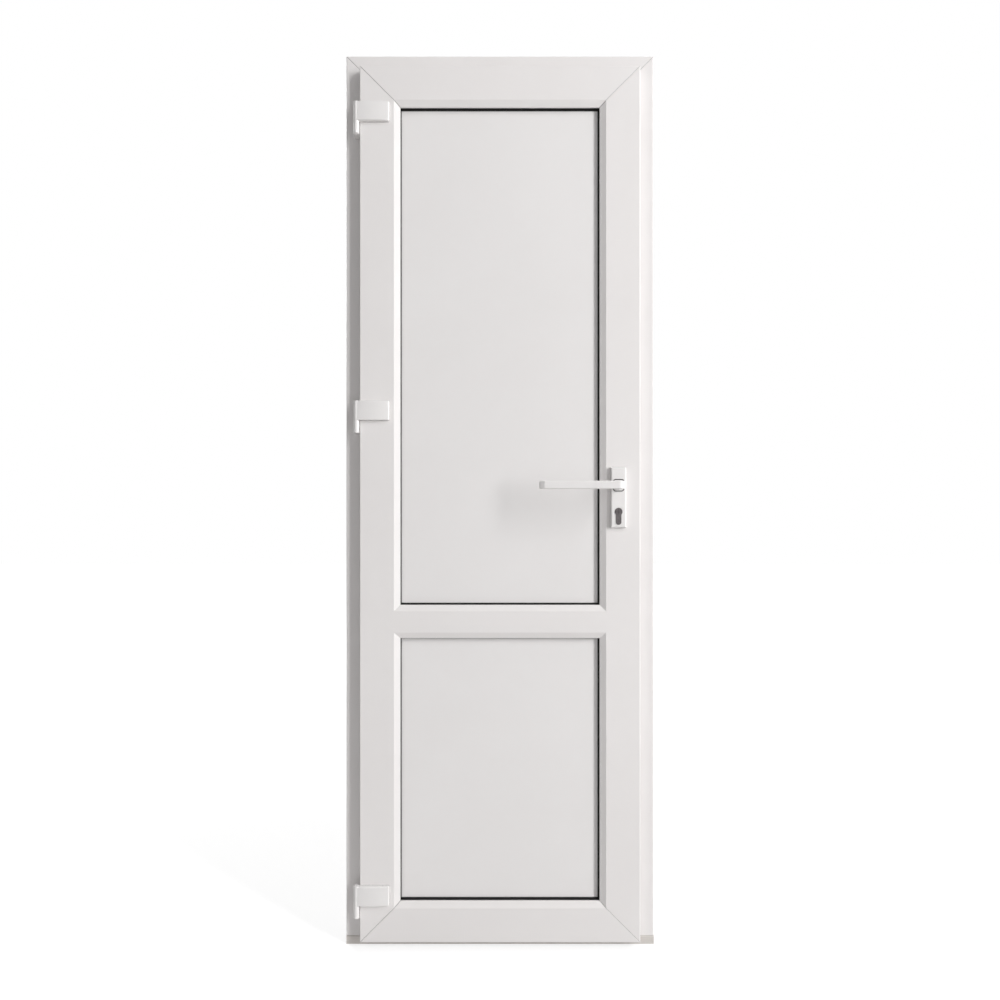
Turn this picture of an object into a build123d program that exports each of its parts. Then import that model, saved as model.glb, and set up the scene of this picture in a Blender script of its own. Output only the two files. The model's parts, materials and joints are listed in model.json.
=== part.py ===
from build123d import *
import os

os.makedirs("parts", exist_ok=True)

# Millimetres. X runs right as seen from the front, Y away from the viewer, Z up.
# The origin is the middle of the threshold's underside, at mid depth of the frame.

# Door set
SET_WIDTH = 710.0
SET_HEIGHT = 2050.0
THRESHOLD_HEIGHT = 20.0

# Outer frame profile
FRAME_DEPTH = 60.0
FRAME_FACE = 43.0
FRAME_EDGE_RADIUS = 2.5
WELD_GROOVE = 0.9
STOP_HEIGHT = 18.0
STOP_THICKNESS = 15.0
STOP_SLOPE_WIDTH = 6.0
STOP_SLOPE_DEPTH = 12.0
WALL_GROOVE_WIDTH = 9.0
WALL_GROOVE_DEPTH = 5.0
WALL_GROOVE_INSET = 9.0
KEEP_GROOVE_WIDTH = 16.0
KEEP_GROOVE_DEPTH = 3.0

# Threshold profile
RIB_COUNT = 5
RIB_GROOVE_WIDTH = 3.0
RIB_GROOVE_DEPTH = 1.2
RIB_PITCH = 8.0
THRESHOLD_NOSE = 3.0
THRESHOLD_WALL = 2.2
THRESHOLD_WEB = 5.0

# Leaf profile
LEAF_MARGIN = 35.0
LEAF_BOTTOM = 16.0
LEAF_PROUD = 20.0
LEAF_DEPTH = 60.0
LEAF_FACE = 78.0
LEAF_EDGE_RADIUS = 2.0
FLANGE_WIDTH = 20.0
FLANGE_THICKNESS = 15.0
BEVEL_WIDTH = 14.0
BEVEL_DEPTH = 6.0
LIP_EDGE = 3.0
LIP_COVER = 22.0
HARDWARE_GROOVE_WIDTH = 16.0
HARDWARE_GROOVE_STEP = 3.0
HARDWARE_SLOT_WIDTH = 12.0
HARDWARE_SLOT_DEPTH = 11.0
HARDWARE_Y = -4.0
MID_RAIL_FACE = 48.0
MID_RAIL_RISE = 731.0

# Infill panels, gaskets and glazing beads
PANEL_THICKNESS = 24.0
PANEL_EDGE_CLEARANCE = 3.0
GASKET_THICKNESS = 5.5
GASKET_WIDTH = 10.5
GASKET_NOSE = 1.2
BEAD_TOP = 6.0
BEAD_NOSE = 3.0

# Seals
SEAL_WIDTH = 5.0
SEAL_ROOT_WIDTH = 3.0
SEAL_ROOT_DEPTH = 4.0
SEAL_INSET = 1.0
SEAL_CLEARANCE = 0.4
SEAL_TIP_RADIUS = 1.6

# Hinges
TOP_HINGE_DROP = 106.0
MIDDLE_HINGE_DROP = 786.5
BOTTOM_HINGE_RISE = 108.5
FLAP_WIDTH = 75.0
FLAP_HEIGHT = 44.0
FLAP_CREST = 36.0
FLAP_THICKNESS = 8.6
FLAP_ROOT_THICKNESS = 7.4
FLAP_END_THICKNESS = 5.0
FLAP_END_RADIUS = 3.5
FLAP_EDGE_CHAMFER = 1.2
KNUCKLE_DIAMETER = 13.0
KNUCKLE_OFFSET = 7.0
KNUCKLE_PROUD = 1.5
KNUCKLE_CHAMFER = 0.8
BRACKET_HEIGHT = 28.0
KNUCKLE_GAP = 0.5
PIN_DIAMETER = 6.4
PIN_LENGTH = 34.0
PIN_CLEARANCE = 0.3

# Handle set
LOCK_BACKSET = 31.0
LEVER_Z = 1058.5
LOCK_CENTRES = 60.0
PLATE_WIDTH = 35.0
PLATE_ABOVE = 40.5
PLATE_BELOW = 96.5
PLATE_THICKNESS = 8.0
PLATE_EDGE_RADIUS = 3.2
COLLAR_WIDTH = 25.0
COLLAR_HEIGHT = 28.0
COLLAR_CORNER = 6.0
COLLAR_RING = 1.6
COLLAR_THICKNESS = 3.0
COLLAR_PROUD = 1.0
NECK_DIAMETER = 18.0
NECK_CLEARANCE = 0.4
NECK_START = 3.0
LEVER_REACH = 182.0
LEVER_PROJECTION = 55.0
LEVER_THICKNESS = 11.0
LEVER_BEND_RADIUS = 16.0
LEVER_INNER_RADIUS = 6.0
LEVER_TIP_SLOPE = 11.0
LEVER_TIP_FALL = 4.0
LEVER_TIP_THICKNESS = 8.0
LEVER_TIP_RADIUS = 3.5
LEVER_RETURN = 17.0
LEVER_CHAMFER = 2.0
SPINDLE_SIDE = 8.0
SPINDLE_CLEARANCE = 0.1
SPINDLE_INSERT = 20.0
SPINDLE_BORE = 14.0

# Lock
CYLINDER_DIAMETER = 17.0
CYLINDER_LOBE_WIDTH = 12.0
CYLINDER_DROP = 29.5
CYLINDER_CLEARANCE = 0.4
CYLINDER_PROUD = 1.0
KEYWAY_WIDTH = 2.2
KEYWAY_HEIGHT = 9.0
KEYWAY_DEPTH = 3.0
PLUG_DIAMETER = 13.0
PLUG_GROOVE_WIDTH = 0.8
PLUG_GROOVE_DEPTH = 0.6
FACEPLATE_HEIGHT = 235.0
FACEPLATE_THICKNESS = 3.0
LATCH_WIDTH = 12.0
LATCH_HEIGHT = 28.0
LATCH_PROUD = 3.0
LATCH_BEVEL = 3.0
DEAD_BOLT_HEIGHT = 34.0
BOLT_CLEARANCE = 0.3
STRIKE_HEIGHT = 190.0
STRIKE_THICKNESS = 2.5
STRIKE_WIDTH = 26.0
STRIKE_CORNER = 4.0
STRIKE_WINDOW_WIDTH = 16.0
STRIKE_WINDOW_MARGIN = 4.0

# Levels that follow from the values above
HALF_SET = SET_WIDTH / 2
FRAME_FRONT = -FRAME_DEPTH / 2
FRAME_BACK = FRAME_DEPTH / 2
REBATE_X = HALF_SET - FRAME_FACE
STOP_FRONT = FRAME_BACK - STOP_THICKNESS
HALF_LEAF = HALF_SET - LEAF_MARGIN
LEAF_TOP = SET_HEIGHT - LEAF_MARGIN
LEAF_HEIGHT = LEAF_TOP - LEAF_BOTTOM
LEAF_FRONT = FRAME_FRONT - LEAF_PROUD
LEAF_BACK = LEAF_FRONT + LEAF_DEPTH
FLANGE_BACK = LEAF_FRONT + FLANGE_THICKNESS
LIP_INNER = LEAF_FACE + BEVEL_WIDTH
LIP_BACK = LEAF_FRONT + BEVEL_DEPTH + LIP_EDGE
GLAZING_BASE = LIP_INNER - LIP_COVER
PANEL_FRONT = LIP_BACK + GASKET_THICKNESS
PANEL_BACK = PANEL_FRONT + PANEL_THICKNESS
BEAD_FRONT = PANEL_BACK + GASKET_THICKNESS
MID_RAIL_CENTRE = LEAF_BOTTOM + MID_RAIL_RISE
MID_LIP = MID_RAIL_FACE / 2 + BEVEL_WIDTH
MID_BASE = MID_LIP - LIP_COVER
HINGE_X = -HALF_LEAF - KNUCKLE_OFFSET
HINGE_Y = LEAF_FRONT - KNUCKLE_PROUD
HINGE_CENTRES = {
    "top": LEAF_TOP - TOP_HINGE_DROP,
    "middle": LEAF_TOP - MIDDLE_HINGE_DROP,
    "bottom": LEAF_BOTTOM + BOTTOM_HINGE_RISE,
}
BODY_EDGE_X = HALF_LEAF - FLANGE_WIDTH
HANDLE_X = BODY_EDGE_X - LOCK_BACKSET
CYLINDER_Z = LEVER_Z - LOCK_CENTRES

# Glazing openings at the base of the rebate: half width, then low and high level of each
BASE_X = HALF_LEAF - GLAZING_BASE
OPENINGS = {
    "upper": (MID_RAIL_CENTRE + MID_BASE, LEAF_TOP - GLAZING_BASE),
    "lower": (LEAF_BOTTOM + GLAZING_BASE, MID_RAIL_CENTRE - MID_BASE),
}

LEFT = (-1, 0, 0)
RIGHT = (1, 0, 0)
FRONT = (0, -1, 0)
UP = (0, 0, 1)
DOWN = (0, 0, -1)


def facing_front(y):
    """Plane across the door at depth y, with X and Z as its axes and its normal to the viewer."""
    return Plane.XZ.offset(-y)


def save(piece, label):
    """Name a finished piece and write it out."""
    piece.part.label = label
    export_step(piece.part, f"parts/{label}.step")


def bar(points, rounded, radius, start, inward, along, length, mitres, weld=()):
    """Profile bar from a corner point, drawn as (distance inward, depth), with 45 degree ends.

    The weld points follow the front of the section, where each mitre gets its half of a V groove.
    """
    start, inward, along = Vector(*start), Vector(*inward), Vector(*along)
    ends = ((start, along), (start + along * length, along * -1))
    half = WELD_GROOVE
    same_point = 0.01
    groove = [(-half, half), (-half, 0), (0, -half), (half, 0), (half, half)]
    with BuildPart() as piece:
        with BuildSketch(Plane(origin=start, x_dir=inward, z_dir=along)) as section:
            with BuildLine():
                Polyline(*points, close=True)
            make_face()
            corners = [
                vertex
                for vertex in section.vertices()
                if any(abs(vertex.X - u) + abs(vertex.Y - v) < same_point for u, v in rounded)
            ]
            fillet(corners, radius=radius)
        extrude(amount=length)
        for mitred, (corner, run) in zip(mitres, ends):
            if mitred:
                split(bisect_by=Plane(corner, z_dir=run - inward), keep=Keep.TOP)
                for (u, v), (next_u, next_v) in zip(weld, weld[1:]):
                    crest = corner + (inward + run) * u + Vector(0, v, 0)
                    path = (inward + run) * (next_u - u) + Vector(0, next_v - v, 0)
                    with BuildSketch(Plane(crest, x_dir=Vector(*FRONT).cross(path), z_dir=path)):
                        with BuildLine():
                            Polyline(*groove, close=True)
                        make_face()
                    extrude(amount=path.length, mode=Mode.SUBTRACT)
    return piece


def cylinder_outline(clearance):
    """Draw the lock cylinder's round barrel and rounded lobe, grown by a clearance."""
    lobe_radius = CYLINDER_LOBE_WIDTH / 2
    lobe_drop = CYLINDER_DROP - lobe_radius
    with Locations((HANDLE_X, CYLINDER_Z)):
        Circle(CYLINDER_DIAMETER / 2 + clearance)
        Rectangle(CYLINDER_LOBE_WIDTH + 2 * clearance, lobe_drop, align=(Align.CENTER, Align.MAX))
    with Locations((HANDLE_X, CYLINDER_Z - lobe_drop)):
        Circle(lobe_radius + clearance)


# Outer frame: face, rebate with a keep groove, sloped stop, and two grooves to the wall
keep_low = HARDWARE_Y - KEEP_GROOVE_WIDTH / 2
keep_high = HARDWARE_Y + KEEP_GROOVE_WIDTH / 2
groove_front = FRAME_FRONT + WALL_GROOVE_INSET
groove_back = FRAME_BACK - WALL_GROOVE_INSET
seal_u = FRAME_FACE - SEAL_INSET - (SEAL_WIDTH - SEAL_ROOT_WIDTH) / 2
frame_outline = [
    (0, FRAME_FRONT),
    (seal_u - SEAL_ROOT_WIDTH, FRAME_FRONT),
    (seal_u - SEAL_ROOT_WIDTH, FRAME_FRONT + SEAL_ROOT_DEPTH),
    (seal_u, FRAME_FRONT + SEAL_ROOT_DEPTH),
    (seal_u, FRAME_FRONT),
    (FRAME_FACE, FRAME_FRONT),
    (FRAME_FACE, keep_low),
    (FRAME_FACE - KEEP_GROOVE_DEPTH, keep_low),
    (FRAME_FACE - KEEP_GROOVE_DEPTH, keep_high),
    (FRAME_FACE, keep_high),
    (FRAME_FACE, STOP_FRONT),
    (FRAME_FACE + STOP_HEIGHT, STOP_FRONT),
    (FRAME_FACE + STOP_HEIGHT, FRAME_BACK - STOP_SLOPE_DEPTH),
    (FRAME_FACE + STOP_HEIGHT - STOP_SLOPE_WIDTH, FRAME_BACK),
    (0, FRAME_BACK),
    (0, groove_back),
    (WALL_GROOVE_DEPTH, groove_back),
    (WALL_GROOVE_DEPTH, groove_back - WALL_GROOVE_WIDTH),
    (0, groove_back - WALL_GROOVE_WIDTH),
    (0, groove_front + WALL_GROOVE_WIDTH),
    (WALL_GROOVE_DEPTH, groove_front + WALL_GROOVE_WIDTH),
    (WALL_GROOVE_DEPTH, groove_front),
    (0, groove_front),
]
frame_rounded = [
    (0, FRAME_FRONT),
    (0, FRAME_BACK),
    (FRAME_FACE + STOP_HEIGHT - STOP_SLOPE_WIDTH, FRAME_BACK),
]
frame_weld = [(0, FRAME_FRONT), (FRAME_FACE, FRAME_FRONT)]
JAMB_LENGTH = SET_HEIGHT - THRESHOLD_HEIGHT
FRAME_BARS = {
    "jamb_left": ((-HALF_SET, 0, THRESHOLD_HEIGHT), RIGHT, UP, JAMB_LENGTH, (False, True)),
    "jamb_right": ((HALF_SET, 0, SET_HEIGHT), LEFT, DOWN, JAMB_LENGTH, (True, False)),
    "frame_head": ((-HALF_SET, 0, SET_HEIGHT), DOWN, RIGHT, SET_WIDTH, (True, True)),
}
for label, place in FRAME_BARS.items():
    frame_bar = bar(frame_outline, frame_rounded, FRAME_EDGE_RADIUS, *place, frame_weld)
    save(frame_bar, label)

# Threshold: low ribbed strip under the jambs, two hollow chambers, chamfered to front and back
chamber_width = (FRAME_DEPTH - THRESHOLD_WEB) / 2 - THRESHOLD_NOSE - THRESHOLD_WALL
chamber_height = THRESHOLD_HEIGHT - RIB_GROOVE_DEPTH - 2 * THRESHOLD_WALL
with BuildPart() as threshold:
    with BuildSketch(Plane.YZ.offset(-HALF_SET)) as threshold_section:
        with BuildLine():
            Polyline(
                (FRAME_FRONT, 0),
                (FRAME_FRONT, THRESHOLD_HEIGHT - THRESHOLD_NOSE),
                (FRAME_FRONT + THRESHOLD_NOSE, THRESHOLD_HEIGHT),
                (FRAME_BACK - THRESHOLD_NOSE, THRESHOLD_HEIGHT),
                (FRAME_BACK, THRESHOLD_HEIGHT - THRESHOLD_NOSE),
                (FRAME_BACK, 0),
                close=True,
            )
        make_face()
        with Locations((0, THRESHOLD_HEIGHT - RIB_GROOVE_DEPTH / 2)):
            with GridLocations(RIB_PITCH, 1, RIB_COUNT, 1):
                Rectangle(RIB_GROOVE_WIDTH, RIB_GROOVE_DEPTH, mode=Mode.SUBTRACT)
        for outward in (-1, 1):
            with Locations((outward * (THRESHOLD_WEB + chamber_width) / 2, THRESHOLD_WALL)):
                Rectangle(
                    chamber_width,
                    chamber_height,
                    align=(Align.CENTER, Align.MIN),
                    mode=Mode.SUBTRACT,
                )
    extrude(amount=SET_WIDTH)
save(threshold, "threshold")

# Frame seal: rooted in the frame face and reaching to the back of the leaf flange on three sides
seal_edge = HALF_SET - (FRAME_FACE - SEAL_INSET)
seal_tip = FLANGE_BACK + SEAL_CLEARANCE
with BuildPart() as frame_seal:
    for width, deep, shallow in (
        (SEAL_WIDTH, FRAME_FRONT, seal_tip),
        (SEAL_ROOT_WIDTH, FRAME_FRONT + SEAL_ROOT_DEPTH, FRAME_FRONT),
    ):
        inner = seal_edge + (SEAL_WIDTH - width) / 2
        with BuildSketch(facing_front(deep)):
            with Locations((0, THRESHOLD_HEIGHT)):
                Rectangle(
                    2 * (inner + width),
                    SET_HEIGHT - HALF_SET + inner + width - THRESHOLD_HEIGHT,
                    align=(Align.CENTER, Align.MIN),
                )
                Rectangle(
                    2 * inner,
                    SET_HEIGHT - HALF_SET + inner - THRESHOLD_HEIGHT,
                    align=(Align.CENTER, Align.MIN),
                    mode=Mode.SUBTRACT,
                )
        extrude(amount=deep - shallow)
    fillet(frame_seal.faces().sort_by(Axis.Y)[0].edges(), radius=SEAL_TIP_RADIUS)
save(frame_seal, "frame_seal")

# Leaf profile: overlap flange, face, bevelled lip, glazing rebate and stepped hardware groove
hardware_low = HARDWARE_Y - HARDWARE_GROOVE_WIDTH / 2
hardware_high = HARDWARE_Y + HARDWARE_GROOVE_WIDTH / 2
slot_low = HARDWARE_Y - HARDWARE_SLOT_WIDTH / 2
slot_high = HARDWARE_Y + HARDWARE_SLOT_WIDTH / 2
groove_step = FLANGE_WIDTH + HARDWARE_GROOVE_STEP
leaf_seal_v = FLANGE_WIDTH + SEAL_INSET + (SEAL_WIDTH - SEAL_ROOT_WIDTH) / 2
leaf_outline = [
    (0, LEAF_FRONT),
    (LEAF_FACE, LEAF_FRONT),
    (LIP_INNER, LEAF_FRONT + BEVEL_DEPTH),
    (LIP_INNER, LIP_BACK),
    (GLAZING_BASE, LIP_BACK),
    (GLAZING_BASE, LEAF_BACK),
    (leaf_seal_v + SEAL_ROOT_WIDTH, LEAF_BACK),
    (leaf_seal_v + SEAL_ROOT_WIDTH, LEAF_BACK - SEAL_ROOT_DEPTH),
    (leaf_seal_v, LEAF_BACK - SEAL_ROOT_DEPTH),
    (leaf_seal_v, LEAF_BACK),
    (FLANGE_WIDTH, LEAF_BACK),
    (FLANGE_WIDTH, hardware_high),
    (groove_step, hardware_high),
    (groove_step, slot_high),
    (FLANGE_WIDTH + HARDWARE_SLOT_DEPTH, slot_high),
    (FLANGE_WIDTH + HARDWARE_SLOT_DEPTH, slot_low),
    (groove_step, slot_low),
    (groove_step, hardware_low),
    (FLANGE_WIDTH, hardware_low),
    (FLANGE_WIDTH, FLANGE_BACK),
    (0, FLANGE_BACK),
]
leaf_rounded = [(0, LEAF_FRONT), (0, FLANGE_BACK)]
leaf_weld = [(0, LEAF_FRONT), (LEAF_FACE, LEAF_FRONT), (LIP_INNER, LEAF_FRONT + BEVEL_DEPTH)]
LEAF_WIDTH = 2 * HALF_LEAF
BOTH = (True, True)


def leaf_bar(start, inward, along, length):
    """One mitred member of the leaf."""
    place = (start, inward, along, length, BOTH)
    return bar(leaf_outline, leaf_rounded, LEAF_EDGE_RADIUS, *place, leaf_weld)


stile_left = leaf_bar((-HALF_LEAF, 0, LEAF_BOTTOM), RIGHT, UP, LEAF_HEIGHT)
save(stile_left, "stile_left")
rail_top = leaf_bar((-HALF_LEAF, 0, LEAF_TOP), DOWN, RIGHT, LEAF_WIDTH)
save(rail_top, "rail_top")
rail_bottom = leaf_bar((HALF_LEAF, 0, LEAF_BOTTOM), UP, LEFT, LEAF_WIDTH)
save(rail_bottom, "rail_bottom")
stile_right_blank = leaf_bar((HALF_LEAF, 0, LEAF_TOP), LEFT, DOWN, LEAF_HEIGHT)

# Lock stile: bored through for the spindle and the cylinder
with BuildPart() as stile_right:
    add(stile_right_blank.part)
    with BuildSketch(facing_front(LEAF_BACK)):
        with Locations((HANDLE_X, LEVER_Z)):
            Circle(SPINDLE_BORE / 2)
        cylinder_outline(CYLINDER_CLEARANCE)
    extrude(amount=LEAF_DEPTH, mode=Mode.SUBTRACT)
save(stile_right, "stile_right")

# Mid rail: double-lipped profile, its ends shaped to the lips of the stiles
with BuildPart() as mid_rail:
    with BuildSketch(Plane(origin=(-BASE_X, 0, MID_RAIL_CENTRE), x_dir=UP, z_dir=LEFT)):
        with BuildLine():
            Polyline(
                (MID_RAIL_FACE / 2, LEAF_FRONT),
                (MID_LIP, LEAF_FRONT + BEVEL_DEPTH),
                (MID_LIP, LIP_BACK),
                (MID_BASE, LIP_BACK),
                (MID_BASE, LEAF_BACK),
                (-MID_BASE, LEAF_BACK),
                (-MID_BASE, LIP_BACK),
                (-MID_LIP, LIP_BACK),
                (-MID_LIP, LEAF_FRONT + BEVEL_DEPTH),
                (-MID_RAIL_FACE / 2, LEAF_FRONT),
                close=True,
            )
        make_face()
    extrude(amount=-2 * BASE_X)
    add(stile_left.part, mode=Mode.SUBTRACT)
    add(stile_right_blank.part, mode=Mode.SUBTRACT)
save(mid_rail, "mid_rail")

# Panels, gaskets on both of their faces, and four glazing beads round each on the back
bead_outline = [
    (0, BEAD_FRONT),
    (LIP_COVER, BEAD_FRONT),
    (LIP_COVER, BEAD_FRONT + BEAD_NOSE),
    (BEAD_TOP, LEAF_BACK),
    (0, LEAF_BACK),
]
BASE_WIDTH = 2 * BASE_X
for where, (base_low, base_high) in OPENINGS.items():
    base_height = base_high - base_low
    base_centre = (base_high + base_low) / 2
    with BuildPart() as panel:
        with BuildSketch(facing_front(PANEL_BACK)):
            with Locations((0, base_centre)):
                Rectangle(BASE_WIDTH - 2 * PANEL_EDGE_CLEARANCE, base_height - 2 * PANEL_EDGE_CLEARANCE)
        extrude(amount=PANEL_THICKNESS)
    save(panel, f"panel_{where}")
    gasket_inner = LIP_COVER + GASKET_NOSE
    gasket_outer = gasket_inner - GASKET_WIDTH
    sight_width = BASE_WIDTH - 2 * gasket_inner
    sight_height = base_height - 2 * gasket_inner
    for side, back in (("front", PANEL_FRONT), ("back", BEAD_FRONT)):
        with BuildPart() as gasket:
            with BuildSketch(facing_front(back)):
                with Locations((0, base_centre)):
                    Rectangle(BASE_WIDTH - 2 * gasket_outer, base_height - 2 * gasket_outer)
                    Rectangle(sight_width, sight_height, mode=Mode.SUBTRACT)
            extrude(amount=GASKET_THICKNESS)
        save(gasket, f"gasket_{where}_{side}")
    BEAD_BARS = {
        "left": ((-BASE_X, 0, base_low), RIGHT, UP, base_height),
        "top": ((-BASE_X, 0, base_high), DOWN, RIGHT, BASE_WIDTH),
        "right": ((BASE_X, 0, base_high), LEFT, DOWN, base_height),
        "bottom": ((BASE_X, 0, base_low), UP, LEFT, BASE_WIDTH),
    }
    for side, place in BEAD_BARS.items():
        bead = bar(bead_outline, [(BEAD_TOP, LEAF_BACK)], BEAD_NOSE, *place, BOTH)
        save(bead, f"bead_{where}_{side}")

# Leaf seal: rooted in the leaf's back and reaching to the frame's stop on three sides
leaf_seal_outer = BODY_EDGE_X - SEAL_INSET
leaf_seal_foot = LEAF_BOTTOM + FLANGE_WIDTH + HARDWARE_SLOT_DEPTH
seal_rise = LEAF_TOP - HALF_LEAF
with BuildPart() as leaf_seal:
    for width, deep, shallow in (
        (SEAL_WIDTH, STOP_FRONT - SEAL_CLEARANCE, LEAF_BACK),
        (SEAL_ROOT_WIDTH, LEAF_BACK, LEAF_BACK - SEAL_ROOT_DEPTH),
    ):
        outer = leaf_seal_outer - (SEAL_WIDTH - width) / 2
        with BuildSketch(facing_front(deep)):
            with Locations((0, leaf_seal_foot)):
                Rectangle(2 * outer, seal_rise + outer - leaf_seal_foot, align=(Align.CENTER, Align.MIN))
                Rectangle(
                    2 * (outer - width),
                    seal_rise + outer - width - leaf_seal_foot,
                    align=(Align.CENTER, Align.MIN),
                    mode=Mode.SUBTRACT,
                )
        extrude(amount=deep - shallow)
    fillet(leaf_seal.faces().sort_by(Axis.Y)[-1].edges(), radius=SEAL_TIP_RADIUS)
save(leaf_seal, "leaf_seal")

# Bottom seal: strip in the bottom rail's hardware groove, reaching down to the threshold
body_foot = LEAF_BOTTOM + FLANGE_WIDTH
seal_foot = THRESHOLD_HEIGHT + SEAL_CLEARANCE
with BuildPart() as bottom_seal:
    with BuildSketch(Plane.XY.offset(body_foot)):
        with Locations((0, HARDWARE_Y)):
            Rectangle(2 * BODY_EDGE_X - 2 * HARDWARE_SLOT_DEPTH, HARDWARE_GROOVE_WIDTH)
    extrude(amount=HARDWARE_GROOVE_STEP)
    with BuildSketch(Plane.XY.offset(seal_foot)):
        with Locations((0, HARDWARE_Y)):
            Rectangle(2 * BODY_EDGE_X - 2 * HARDWARE_SLOT_DEPTH, SEAL_WIDTH)
    extrude(amount=body_foot - seal_foot)
    fillet(bottom_seal.faces().sort_by(Axis.Z)[0].edges().filter_by(Axis.X), radius=SEAL_TIP_RADIUS)
save(bottom_seal, "bottom_seal")

# Hinges: a crowned flap with a bored knuckle on the leaf, and a knuckle bracket with its pin on the frame
knuckle_radius = KNUCKLE_DIAMETER / 2
flap_end_x = HINGE_X + FLAP_WIDTH
for where, centre in HINGE_CENTRES.items():
    flap_low = centre - FLAP_HEIGHT / 2
    with BuildPart() as hinge_flap:
        with BuildSketch(Plane.XY.offset(flap_low)) as flap_section:
            with BuildLine():
                Polyline(
                    (HINGE_X, LEAF_FRONT - FLAP_ROOT_THICKNESS),
                    (HINGE_X, LEAF_FRONT),
                    (flap_end_x, LEAF_FRONT),
                    (flap_end_x, LEAF_FRONT - FLAP_END_THICKNESS),
                )
                ThreePointArc(
                    (flap_end_x, LEAF_FRONT - FLAP_END_THICKNESS),
                    (HINGE_X + FLAP_CREST, LEAF_FRONT - FLAP_THICKNESS),
                    (HINGE_X, LEAF_FRONT - FLAP_ROOT_THICKNESS),
                )
            make_face()
            free_corner = flap_section.vertices().group_by(Axis.X)[-1].sort_by(Axis.Y)[0]
            fillet(free_corner, radius=FLAP_END_RADIUS)
        extrude(amount=FLAP_HEIGHT)
        for flap_end in (hinge_flap.faces().sort_by(Axis.Z)[0], hinge_flap.faces().sort_by(Axis.Z)[-1]):
            chamfer(flap_end.edges().filter_by(GeomType.CIRCLE), length=FLAP_EDGE_CHAMFER)
        with BuildSketch(Plane.XY.offset(flap_low)):
            with Locations((HINGE_X, HINGE_Y)):
                Circle(knuckle_radius)
        extrude(amount=FLAP_HEIGHT)
        with BuildSketch(Plane.XY.offset(flap_low)):
            with Locations((HINGE_X, HINGE_Y)):
                Circle(PIN_DIAMETER / 2 + PIN_CLEARANCE)
        extrude(amount=PIN_LENGTH + KNUCKLE_GAP, mode=Mode.SUBTRACT)
    save(hinge_flap, f"hinge_flap_{where}")

    bracket_top = flap_low - KNUCKLE_GAP
    with BuildPart() as hinge_bracket:
        with BuildSketch(Plane.XY.offset(bracket_top)):
            with Locations((HINGE_X, HINGE_Y)):
                Circle(knuckle_radius)
                Rectangle(KNUCKLE_DIAMETER, FRAME_FRONT - HINGE_Y, align=(Align.CENTER, Align.MIN))
        extrude(amount=-BRACKET_HEIGHT)
        bracket_foot = hinge_bracket.faces().sort_by(Axis.Z)[0]
        chamfer(bracket_foot.edges().sort_by(Axis.Y)[:-1], length=KNUCKLE_CHAMFER)
        with BuildSketch(Plane.XY.offset(bracket_top)):
            with Locations((HINGE_X, HINGE_Y)):
                Circle(PIN_DIAMETER / 2)
        extrude(amount=PIN_LENGTH)
    save(hinge_bracket, f"hinge_bracket_{where}")

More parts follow.
